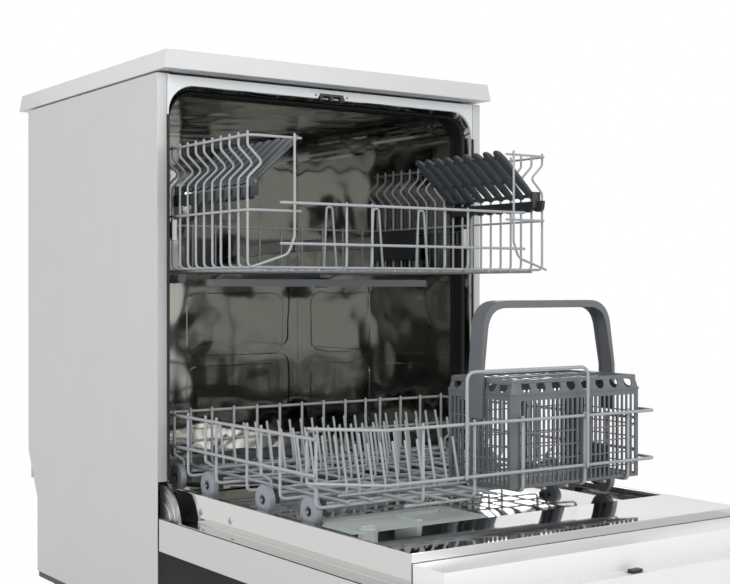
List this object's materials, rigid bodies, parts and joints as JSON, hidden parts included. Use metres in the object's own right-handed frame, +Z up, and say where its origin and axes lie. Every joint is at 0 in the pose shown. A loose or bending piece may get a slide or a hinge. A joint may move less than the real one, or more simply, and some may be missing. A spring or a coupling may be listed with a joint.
{
  "type": "freestanding dishwasher",
  "caption": "Freestanding dishwasher with drop-down door, sliding dish racks, fold-up cup shelves, spray arms and a lift-out cutlery basket.",
  "frame": {"origin": "on the floor, under the middle of the whole model with its door lowered", "axes": "+X to the right seen from the front, +Y to the rear, +Z up"},
  "size_m": [0.6, 1.202, 0.85],
  "materials": {
    "worktop_laminate": "light grey laminate, satin",
    "edging_grey": "light grey moulded edging",
    "painted_silver": "silver-grey enamel",
    "galvanised": "zinc-coated sheet",
    "stainless": "bright stainless sheet",
    "flange_white": "bluish white",
    "base_plastic": "dark grey moulding",
    "grey_plastic": "mid grey moulding",
    "dark_plastic": "dark slate moulding",
    "white_plastic": "white moulding",
    "fascia_plastic": "silver-grey moulding",
    "button_silver": "silver plastic",
    "coated_wire": "pale grey nylon coating over steel wire",
    "black_rubber": "black rubber",
    "spring_steel": "bare spring steel"
  },
  "bodies": {
    "cabinet": {"worktop_board": "worktop_laminate", "worktop_edging": "edging_grey", "side_panels": "painted_silver", "rear_panel": "galvanised", "base_tray": "base_plastic", "plinth": "base_plastic", "rear_feet": "base_plastic", "pumps": "grey_plastic", "inlet_valve": "white_plastic", "door_springs": "spring_steel", "hinge_brackets": "galvanised", "supply_duct": "grey_plastic", "tub_sides": "stainless", "tub_ceiling": "stainless", "tub_rear": "stainless", "tub_floor": "stainless", "tub_flange": "flange_white", "side_seals": "black_rubber", "door_striker": "dark_plastic", "sump": "grey_plastic", "heater": "stainless", "rack_rails": "galvanised"},
    "front_foot_left": {"foot_front_left": "base_plastic"},
    "front_foot_right": {"foot_front_right": "base_plastic"},
    "filter": {"filter_cup": "dark_plastic"},
    "salt_container_cap": {"salt_cap": "white_plastic"},
    "lower_arm": {"lower_spray_arm": "dark_plastic"},
    "door": {"hinge_arms": "galvanised", "door_outer_panel": "painted_silver", "door_liner": "stainless", "control_fascia": "fascia_plastic", "dispenser_body": "grey_plastic"},
    "dial": {"programme_dial": "button_silver"},
    "power": {"power_button": "button_silver"},
    "start": {"start_button": "button_silver"},
    "option": {"option_button": "button_silver"},
    "latch": {"door_latch": "dark_plastic"},
    "detergent_lid": {"dispenser_lid": "grey_plastic"},
    "rinse_cap": {"rinse_aid_cap": "grey_plastic"},
    "lower_rack": {"lower_rack_sides": "coated_wire", "lower_rack_ends": "coated_wire", "lower_rack_floor": "coated_wire", "plate_tines": "coated_wire", "wheel_clips": "grey_plastic"},
    "wheels_front": {"wheels_1": "grey_plastic"},
    "wheels_second": {"wheels_2": "grey_plastic"},
    "wheels_third": {"wheels_3": "grey_plastic"},
    "wheels_rear": {"wheels_4": "grey_plastic"},
    "basket": {"cutlery_basket": "dark_plastic", "basket_long_walls": "dark_plastic", "basket_end_walls": "dark_plastic", "basket_handle": "dark_plastic"},
    "front_lid": {"basket_lid_front": "dark_plastic"},
    "rear_lid": {"basket_lid_rear": "dark_plastic"},
    "upper_rack": {"upper_rack_sides": "coated_wire", "upper_rack_ends": "coated_wire", "upper_rack_floor": "coated_wire"},
    "left_shelf": {"cup_shelf_left": "dark_plastic"},
    "right_shelf": {"cup_shelf_right": "dark_plastic"},
    "upper_arm": {"upper_spray_arm": "dark_plastic"}
  },
  "joints": [
    {"name": "door_hinge", "type": "hinge", "parent": "cabinet", "child": "door", "pos_m": [0, 0.039, 0.172], "axis": [-1, 0, 0], "range_deg": [0, 0.25]},
    {"name": "lower_rack_slide", "type": "slide", "parent": "cabinet", "child": "lower_rack", "axis": [0, 1, 0], "range_m": [0, 0.475]},
    {"name": "upper_rack_slide", "type": "slide", "parent": "cabinet", "child": "upper_rack", "axis": [0, 1, 0], "range_m": [0, 0.245]},
    {"name": "basket_lift", "type": "slide", "parent": "lower_rack", "child": "basket", "axis": [0, 0, -1], "range_m": [-0.15, 0]},
    {"name": "front_lid_hinge", "type": "hinge", "parent": "basket", "child": "front_lid", "pos_m": [0.128, -0.3623, 0.3852], "axis": [1, 0, 0], "range_deg": [0, 100]},
    {"name": "rear_lid_hinge", "type": "hinge", "parent": "basket", "child": "rear_lid", "pos_m": [0.128, -0.2311, 0.3852], "axis": [-1, 0, 0], "range_deg": [0, 100]},
    {"name": "left_shelf_hinge", "type": "hinge", "parent": "upper_rack", "child": "left_shelf", "pos_m": [-0.25, 0.078, 0.653], "axis": [0, 1, 0], "range_deg": [-23, 43]},
    {"name": "right_shelf_hinge", "type": "hinge", "parent": "upper_rack", "child": "right_shelf", "pos_m": [0.25, 0.078, 0.653], "axis": [0, -1, 0], "range_deg": [-23, 43]},
    {"name": "lower_arm_spin", "type": "hinge", "parent": "cabinet", "child": "lower_arm", "pos_m": [0, 0.3195, 0.2225], "axis": [0, 0, 1], "continuous": true},
    {"name": "upper_arm_spin", "type": "hinge", "parent": "upper_rack", "child": "upper_arm", "pos_m": [0, 0.078, 0.518], "axis": [0, 0, 1], "continuous": true},
    {"name": "wheels_front_roll", "type": "hinge", "parent": "lower_rack", "child": "wheels_front", "pos_m": [0, -0.288, 0.2328], "axis": [-1, 0, 0], "range_deg": [0, 1400]},
    {"name": "wheels_second_roll", "type": "hinge", "parent": "lower_rack", "child": "wheels_second", "pos_m": [0, -0.176, 0.2328], "axis": [-1, 0, 0], "range_deg": [0, 1400]},
    {"name": "wheels_third_roll", "type": "hinge", "parent": "lower_rack", "child": "wheels_third", "pos_m": [0, -0.022, 0.2328], "axis": [-1, 0, 0], "range_deg": [0, 1400]},
    {"name": "wheels_rear_roll", "type": "hinge", "parent": "lower_rack", "child": "wheels_rear", "pos_m": [0, 0.075, 0.2328], "axis": [-1, 0, 0], "range_deg": [0, 1400]},
    {"name": "filter_twist", "type": "hinge", "parent": "cabinet", "child": "filter", "pos_m": [0.048, 0.3195, 0.18], "axis": [0, 0, 1], "range_deg": [0, 90]},
    {"name": "salt_cap_twist", "type": "hinge", "parent": "cabinet", "child": "salt_container_cap", "pos_m": [-0.146, 0.141, 0.19], "axis": [0, 0, 1], "range_deg": [0, 90]},
    {"name": "detergent_lid_slide", "type": "slide", "parent": "door", "child": "detergent_lid", "axis": [1, 0, 0], "range_m": [0, 0.062]},
    {"name": "rinse_cap_twist", "type": "hinge", "parent": "door", "child": "rinse_cap", "pos_m": [-0.228, -0.376, 0.214], "axis": [0, 0, 1], "range_deg": [0, 90]},
    {"name": "programme_dial_turn", "type": "hinge", "parent": "door", "child": "dial", "pos_m": [-0.17, -0.557, 0.13], "axis": [0, 0, 1], "continuous": true},
    {"name": "power_press", "type": "slide", "parent": "door", "child": "power", "axis": [0, 0, 1], "range_m": [0, 0.002], "stiffness_N_per_m": 400, "springref_m": -0.001},
    {"name": "start_press", "type": "slide", "parent": "door", "child": "start", "axis": [0, 0, 1], "range_m": [0, 0.002], "stiffness_N_per_m": 400, "springref_m": -0.001},
    {"name": "option_press", "type": "slide", "parent": "door", "child": "option", "axis": [0, 0, 1], "range_m": [0, 0.002], "stiffness_N_per_m": 400, "springref_m": -0.001},
    {"name": "latch_swing", "type": "hinge", "parent": "door", "child": "latch", "pos_m": [0, -0.59, 0.168], "axis": [-1, 0, 0], "range_deg": [0, 12]},
    {"name": "left_foot_turn", "type": "hinge", "parent": "cabinet", "child": "front_foot_left", "pos_m": [-0.2628, 0.109, 0.004], "axis": [0, 0, 1], "continuous": true},
    {"name": "right_foot_turn", "type": "hinge", "parent": "cabinet", "child": "front_foot_right", "pos_m": [0.2628, 0.109, 0.004], "axis": [0, 0, 1], "continuous": true}
  ],
  "couplings": [
    {"joint": "wheels_front_roll", "follows": "lower_rack_slide", "rad_per_m": 51.282},
    {"joint": "wheels_second_roll", "follows": "lower_rack_slide", "rad_per_m": 51.282},
    {"joint": "wheels_third_roll", "follows": "lower_rack_slide", "rad_per_m": 51.282},
    {"joint": "wheels_rear_roll", "follows": "lower_rack_slide", "rad_per_m": 51.282}
  ]
}
